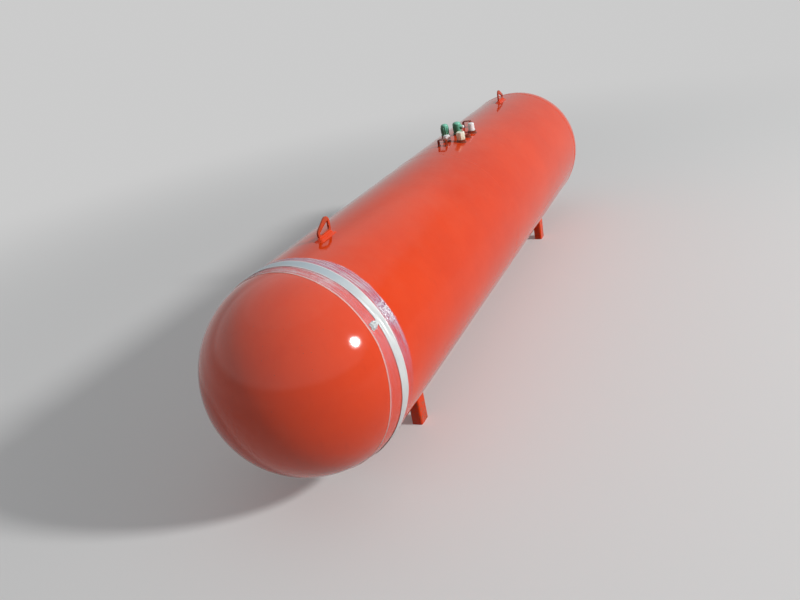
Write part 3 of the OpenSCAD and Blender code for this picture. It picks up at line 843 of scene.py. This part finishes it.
# Stretch film round the near seam
# Clear stretch film wound many times round the near head seam, milky from its many layers. It is
# drawn smooth on the head, creased lengthwise on the shell, and bunched up at one place.
wrap_middle = Vector((near_seam + 0.008, 0, axis_z))
wrap_lean = radians(6)
wrap_turn = radians(4.6)
wrap_way = Matrix.Rotation(-wrap_turn, 3, "Z") @ Matrix.Rotation(wrap_lean, 3, "Y") @ along
wrap_around = 600
wrap_gap = 0.0001
film_layer = 0.0016
film_head_edge = -0.097
film_shell_edge = 0.108
film_rows = (42, 8)
film_taper = 0.002
hem_height = 0.0007
edge_reach = 0.009
tape_half = 0.030
bunch_angle = radians(-57.5)
bunch_across = 0.094
film_pink = (0.92, 0.42, 0.48, 1)
film_mauve = (0.56, 0.36, 0.62, 1)
film_white = (0.95, 0.91, 0.94, 1)
film_edge_highlight = (1.00, 0.70, 0.62, 1)
film_crease_shade = (0.10, 0.03, 0.08, 1)


def smooth_step(low, high, value):
    t = min(1, max(0, (value - low) / (high - low)))
    return t * t * (3 - 2 * t)


def ridge(x, y, z):
    """A sharp-crested fold of noise, from 0 to 1."""
    return max(0, 1 - abs(noise.noise((x, y, z))) * 3.2) ** 1.6


def laid_on_seam(angle, across, lift):
    """The place a lift above the skin, at an angle round the tank and a distance across the band,
    which leans over the seam, over the weld bead and partly on the round of the head."""
    round_way = Vector((0, sin(angle), cos(angle)))
    x = near_seam
    for _ in range(5):
        r = sqrt(shell_r ** 2 - min(0, x - near_seam) ** 2)
        x = wrap_middle.x + (across - r * round_way.dot(wrap_way)) / wrap_way.x
    r = sqrt(shell_r ** 2 - min(0, x - near_seam) ** 2)
    out = (Vector((min(0, x - near_seam), 0, 0)) + round_way * r) / shell_r
    over_bead = bead_crown * max(0, 1 - ((x - near_seam) / (2 * bead_half)) ** 2)
    return Vector((x, 0, axis_z)) + round_way * r + out * (skin_swell(x, angle) + over_bead + lift)


def crease(angle, across):
    """Height of the film's folds: long fine ones on the shell side, few on the head side, and the
    sharp crumples of the bunched place."""
    y, z = sin(angle), cos(angle)
    shell_side = smooth_step(tape_half - 0.001, tape_half + 0.006, across)
    head_side = smooth_step(tape_half - 0.001, tape_half + 0.006, -across)
    strong = 0.30 + 0.70 * exp(-((angle - bunch_angle) / radians(38)) ** 2)
    long_folds = ridge(2.6 * y, 2.6 * z, across * 150) * 0.0011
    long_folds += ridge(6 * y, 6 * z, across * 60) * 0.0008
    slack = ridge(4 * y + across * 16, 4 * z - across * 12, 5) * 0.0010
    apart = ((angle - bunch_angle) * shell_r / 0.055) ** 2 + ((across - bunch_across) / 0.017) ** 2
    bunch = exp(-apart) * (0.0012 + 0.0052 * ridge(26 * y, 26 * z, across * 85))
    return shell_side * (strong * long_folds + bunch) + head_side * 0.5 * slack


def film_edges(angle):
    """Where the film begins and ends across the band, and what the tape covers. Its edges run out
    of true: low down on the head, and over the top on the shell."""
    y, z = sin(angle), cos(angle)
    head_edge = film_head_edge - 0.015 * smooth_step(radians(62), radians(95), -angle)
    head_edge += 0.003 * noise.noise((3 * y, 3 * z, 2))
    shell_edge = film_shell_edge - 0.042 * exp(-((angle - radians(10)) / radians(24)) ** 2)
    shell_edge += 0.006 * noise.noise((3 * y, 3 * z, 9)) + 0.003 * noise.noise((14 * y, 14 * z, 4))
    return head_edge, 0.003 - tape_half, tape_half - 0.003, shell_edge


def band_rows(strip_rows, middle_rows):
    """Rows across a band, close together near its edges and wide apart in its middle third."""
    strip = [i / strip_rows for i in range(strip_rows)]
    middle = [1 + i / middle_rows for i in range(middle_rows)]
    return strip + middle + [2 + s for s in strip] + [3]


def wound_band(name, rows, edges, under, over, taper):
    """A closed band: its outside row by row, then every sixth row back again for its underside. A
    row counts from 0 at the head's edge, through the two places between, to 3 at the shell's."""
    rings, near_edge = [], []
    for outside, some_rows in ((True, rows), (False, rows[::-6])):
        for row in some_rows:
            ring = []
            part = min(2, int(row))
            for i in range(wrap_around):
                angle = 2 * pi * i / wrap_around - pi
                corners = edges(angle)
                across = corners[part] + (corners[part + 1] - corners[part]) * (row - part)
                inside = min(across - corners[0], corners[3] - across)
                near_edge.append(1 - smooth_step(0, edge_reach, inside))
                lift = under
                if outside:
                    hem = hem_height * exp(-((inside - taper) / taper) ** 2)
                    raised = over(angle, across) + hem
                    lift += raised * (0.2 + 0.8 * smooth_step(0, taper, inside))
                ring.append(laid_on_seam(angle, across, lift))
            rings.append(ring)
    band = ringed(name, rings)
    band.data.attributes.new("edge", "FLOAT", "POINT").data.foreach_set("value", near_edge)
    return band


def from_wrap_middle(s):
    return s.vectors("SUBTRACT", s.place, wrap_middle)[0]


def across_band(s):
    """In a material, the distance across the wrapping from its middle line."""
    return s.vectors("DOT_PRODUCT", from_wrap_middle(s), wrap_way)["Value"]


def near_band_edge(s):
    return s.add("Attribute", {"attribute_name": "edge"}).outputs["Fac"]


def lengthwise(s, across, around_scale, across_scale):
    """Coordinates that stretch a pattern along the band."""
    x, y, z = s.split(s.place)
    return s.add("CombineXYZ", None, (s.sum("MULTIPLY", y, around_scale),
                                      s.sum("MULTIPLY", z, around_scale),
                                      s.sum("MULTIPLY", across, across_scale))).outputs[0]


def stretch_film():
    """Clear glossy film, milky where layers lie on each other and white along its folds, with
    painted glints and painted shade in the crumples of its bunched place and a painted highlight
    along its head-side edge.
    """
    s = new_material("stretch_film")
    across = across_band(s)
    edge = near_band_edge(s)
    shell_side = s.ramp(across, 0.02, 0.05)
    # along the film's edge on the head side a bright line is painted: a painted highlight on its
    # raised edge, made more opaque so that it shows
    head_edge_highlight = s.all_of(edge, s.ramp(across, 0.0, -0.05))
    shell_hem = s.all_of(edge, shell_side)
    high_up = s.ramp(s.height(), 0.55, 0.90)
    fine = s.ramp(s.grain(1, 4, 0.62, lengthwise(s, across, 5, 420)), 0.50, 0.62)
    broad = s.ramp(s.grain(1, 3, 0.55, lengthwise(s, across, 4, 90)), 0.42, 0.66)
    slant = s.ramp(s.grain(1, 3, 0.6, s.stretched(26, 16, 8)), 0.60, 0.70)
    cloud = s.grain(7, 4, 0.6)
    by_bunch = s.all_of(s.near(laid_on_seam(bunch_angle, bunch_across, 0), 0.40), shell_side)
    bunched = s.all_of(s.near(laid_on_seam(bunch_angle, bunch_across - 0.02, 0), 0.095), shell_side)
    # in the bunched place, white spots are painted glints and dark specks are painted shade in the
    # crumples
    glint_and_shade_noise = s.grain(105, 4, 0.7)
    folded = s.sum("ADD", s.all_of(by_bunch, 0.6), s.all_of(shell_side, 0.3))
    streaks = s.all_of(fine, s.sum("ADD", folded, 0.12), s.sum("ADD", high_up, 0.08))
    white = s.sum("ADD", streaks, s.all_of(bunched, s.ramp(glint_and_shade_noise, 0.48, 0.56)))
    white = s.sum("ADD", white, s.all_of(slant, high_up, 0.25))
    crest = s.all_of(s.ramp(s.height(), 0.96, 1.12), s.sum("ADD", s.all_of(fine, 0.7), 0.12))
    white = s.sum("ADD", white, crest)
    colour = s.mix(shell_side, film_pink, film_mauve)
    colour = s.mix(white, colour, film_white)
    colour = s.mix(s.all_of(bunched, s.ramp(glint_and_shade_noise, 0.45, 0.40), 0.6), colour, film_crease_shade)
    colour = s.mix(head_edge_highlight, colour, film_edge_highlight)
    clear = s.sum("ADD", s.ramp(cloud, 0.3, 0.7, 0.10, 0.20), s.all_of(broad, 0.10))
    clear = s.all_of(clear, s.sum("ADD", s.all_of(high_up, 0.78), 0.22))
    alpha = s.sum("ADD", clear, s.all_of(white, 0.45))
    alpha = s.sum("ADD", alpha, s.all_of(bunched, 0.20))
    alpha = s.all_of(alpha, s.sum("SUBTRACT", 1.0, s.all_of(shell_hem, 0.85)))
    alpha = s.sum("ADD", alpha, s.all_of(head_edge_highlight, 0.70))
    s.set(Base_Color=colour, Alpha=alpha, Roughness=s.ramp(cloud, 0.3, 0.7, 0.10, 0.22))
    s.bumps((fine, 0.30, 0.0012), (broad, 0.35, 0.0030), (slant, 0.2, 0.0015),
            (glint_and_shade_noise, 0.10, 0.0015))
    return s.owner


def film_over(angle, across):
    return film_layer + crease(angle, across)


film = wound_band("stretch_film", band_rows(*film_rows), film_edges, wrap_gap, film_over,
                  film_taper)
on_tank(film, stretch_film(), "clear_film", "wrap_film")

# Tape over the film
# Silver cloth tape wound tightly over the film along the seam, with a few lengthwise folds where
# it bridges the bead, and its torn end crumpled on the head's side.
tape_layer = 0.0012
tape_rows = (12, 8)
tape_taper = 0.0012
tape_silver = (0.66, 0.69, 0.69, 1)
tape_rubbed = (0.82, 0.83, 0.82, 1)
tape_top_painted_shade = (0.30, 0.40, 0.47, 1)
tape_grimy = (0.42, 0.39, 0.36, 1)
tape_worn_edge = (0.82, 0.80, 0.80, 1)
thread_pitch = 0.0021
end_angle = radians(-57.8)
end_across = -0.053
end_length = 0.038
end_width = 0.052


def tape_edges(angle):
    """The tape's two edges, with their slight wander, and the thirds between them. It drifts
    towards the shell low down on the right."""
    drift = 0.009 * smooth_step(radians(76), radians(108), -angle)
    drift += 0.0012 * noise.noise((3 * sin(angle), 3 * cos(angle), 6))
    return [drift + tape_half * share for share in (-1, -0.4, 0.4, 1)]


def tape_over(angle, across):
    """Thickness of the tape and the height of its few long folds."""
    y, z = sin(angle), cos(angle)
    folds = ridge(2 * y, 2 * z, across * 42 + 3) * 0.0006
    folds += ridge(5 * y, 5 * z, across * 26) * 0.0003
    return tape_layer + folds


def silver_tape():
    """Plastic-coated cloth tape: its threads show through, rubbed bright on its edges, and painted
    darker and bluer where it faces up, as painted shade with a bluish painted reflection.
    """
    s = new_material("silver_tape")
    across = across_band(s)
    x, y, z = s.split(from_wrap_middle(s))
    around = s.sum("MULTIPLY", s.sum("ARCTAN2", y, z), shell_r)
    threads = []
    for run in (around, across):
        threads.append(s.sum("SINE", s.sum("MULTIPLY", run, 2 * pi / thread_pitch)))
    weave = s.all_of(s.sum("MAXIMUM", *threads), 0.5)
    folds = s.ramp(s.grain(1, 4, 0.6, lengthwise(s, across, 4, 85)), 0.50, 0.68)
    cloud = s.ramp(s.grain(6, 5, 0.62), 0.30, 0.70)
    edge = near_band_edge(s)
    colour = s.mix(s.all_of(cloud, 0.6), tape_silver, tape_rubbed)
    colour = s.mix(s.all_of(folds, 0.35), colour, tape_rubbed)
    # the tape facing up on top is painted darker and bluer: painted shade and a bluish painted
    # reflection
    colour = s.mix(s.ramp(s.facing_up(), 0.62, 1.0, 0.0, 0.75), colour, tape_top_painted_shade)
    colour = s.mix(s.all_of(edge, 0.75), colour, tape_worn_edge)
    grime = s.all_of(s.ramp(s.height(), 0.55, 0.08), s.ramp(s.grain(24, 6, 0.66), 0.40, 0.66))
    colour = s.mix(s.all_of(grime, 0.55), colour, tape_grimy)
    rough = s.sum("ADD", s.ramp(cloud, 0, 1, 0.30, 0.40), s.all_of(grime, 0.3))
    s.set(Base_Color=colour, Roughness=rough, Metallic=0.25)
    s.bumps((weave, 0.10, 0.0004), (folds, 0.35, 0.0012), (s.grain(60, 4, 0.6), 0.12, 0.0012))
    return s.owner


tape_finish = silver_tape()
tape = wound_band("silver_tape", band_rows(*tape_rows), tape_edges, film_layer + 2 * wrap_gap,
                  tape_over, tape_taper)
on_tank(tape, tape_finish, "silver_tape", "tape_band")

# the loose end, in rows from its neck at the tape to its torn edge
end_rows = 26
end_columns = 34
rings = []
for i in range(end_rows + 1):
    v = i / end_rows
    over, below = [], []
    for k in range(end_columns + 1):
        u = k / end_columns
        torn = 0.16 * noise.noise((u * 5, 2, 0)) if v > 0.5 else 0
        spread = 0.55 + 0.45 * smooth_step(0.10, 0.50, v)
        angle = end_angle + (u - 0.5) * (end_length / shell_r) * spread
        across = end_across + (0.5 - v * (1 + torn)) * end_width
        inside = smooth_step(0, 0.12, min(u, 1 - u, 1 - v))
        crumple = ridge(u * 3.1, v * 2.3, 1) * 0.0060 + ridge(u * 6.5 + 3, v * 5.5, 6) * 0.0030
        crumple *= smooth_step(0.15, 0.45, v)
        lift = film_layer + 0.0007 + (0.0008 + crumple) * inside
        over.append(laid_on_seam(angle, across, lift + tape_layer * 0.5))
        below.append(laid_on_seam(angle, across, lift - 0.0002))
    rings.append(over + below[::-1])
on_tank(ringed("silver_tape_end", rings, closed=False), tape_finish, "silver_tape")

# Floor, light and camera
# A plain pale studio floor with soft light, seen from where the photograph was taken.
floor_size = 400
floor_grey = (0.40, 0.40, 0.39, 1)
floor_pale = (0.84, 0.84, 0.83, 1)
room_tint = (0.93, 0.96, 1.0, 1)
room_level = 0.22
white = (1, 1, 1, 1)
floor_fade = (2.4, 9.0)
backdrop_level = 0.60
backdrop_tilt = -0.34
backdrop_rise = (0.10, 0.24)
view_right = Vector((0.3916, -0.9034, -0.1749))
view_down = Vector((-0.4356, -0.0145, -0.9000))
view_ahead = Vector((0.8105, 0.4286, -0.3992))
camera_place = Vector((-4.493, -1.928, 2.273))
focal_pixels = 740
image_width = 800
camera = bpy.data.objects.new("camera", bpy.data.cameras.new("camera"))
camera.data.sensor_width = 36
camera.data.lens = focal_pixels / image_width * camera.data.sensor_width
camera.data.clip_end = 2000
turn = Matrix((view_right, -view_down, -view_ahead)).transposed()
camera.matrix_world = Matrix.Translation(camera_place) @ turn.to_4x4()
bpy.context.scene.collection.objects.link(camera)
bpy.context.scene.camera = camera

floor = new_mesh("floor", [(x * floor_size, y * floor_size, 0) for x, y in
                           ((-1, -1), (1, -1), (1, 1), (-1, 1))], [(0, 1, 2, 3)])
s = new_material("studio_floor")
seen = s.seen()
s.set(Base_Color=s.mix(seen, floor_grey, floor_pale), Roughness=0.9, Specular_IOR_Level=0.1)
from_middle = s.vectors("LENGTH", s.place)["Value"]
glow = s.add("Emission", Color=white, Strength=backdrop_level).outputs[0]
share = s.all_of(s.ramp(from_middle, *floor_fade, 0.20, 1.0), seen)
blend = s.add("MixShader", None, (share, s.surface.outputs[0], glow)).outputs[0]
s.put(blend, s.tree.nodes["Material Output"].inputs["Surface"])
floor.data.materials.append(s.owner)

world = bpy.data.worlds.new("studio")
bpy.context.scene.world = world
s = Shader(world, "Background")
s.set(Color=room_tint, Strength=room_level)
# as pale as the floor at the horizon, and white above it, like a studio's lit ceiling
way = s.split(s.places["Generated"])
upward = s.sum("ADD", s.sum("MULTIPLY", s.sum("MAXIMUM", way["X"]), backdrop_tilt), way["Z"])
level = s.ramp(upward, *backdrop_rise, backdrop_level, 1.0)
backdrop = s.add("Background", Color=white, Strength=level).outputs[0]
sky = s.add("MixShader", None, (s.seen(), s.surface.outputs[0], backdrop)).outputs[0]
s.put(sky, s.tree.nodes["World Output"].inputs["Surface"])

for name, direction, distance, size, power in (
    ("key", (0.074, -0.892, 0.447), 20.0, 2.3, 3250),
    ("top", (0.1, 0.2, 1.0), 6.0, 9.0, 30),
):
    lamp = bpy.data.lights.new(name, "AREA")
    lamp.shape = "DISK"
    lamp.size = size
    lamp.energy = power
    lamp_object = bpy.data.objects.new(name, lamp)
    way = Vector(direction).normalized()
    lamp_object.location = Vector((near_seam / 2, 0, axis_z)) + way * distance
    lamp_object.rotation_mode = "QUATERNION"
    lamp_object.rotation_quaternion = (-way).to_track_quat("-Z", "Y")
    bpy.context.scene.collection.objects.link(lamp_object)

bpy.context.scene.view_settings.view_transform = "Standard"
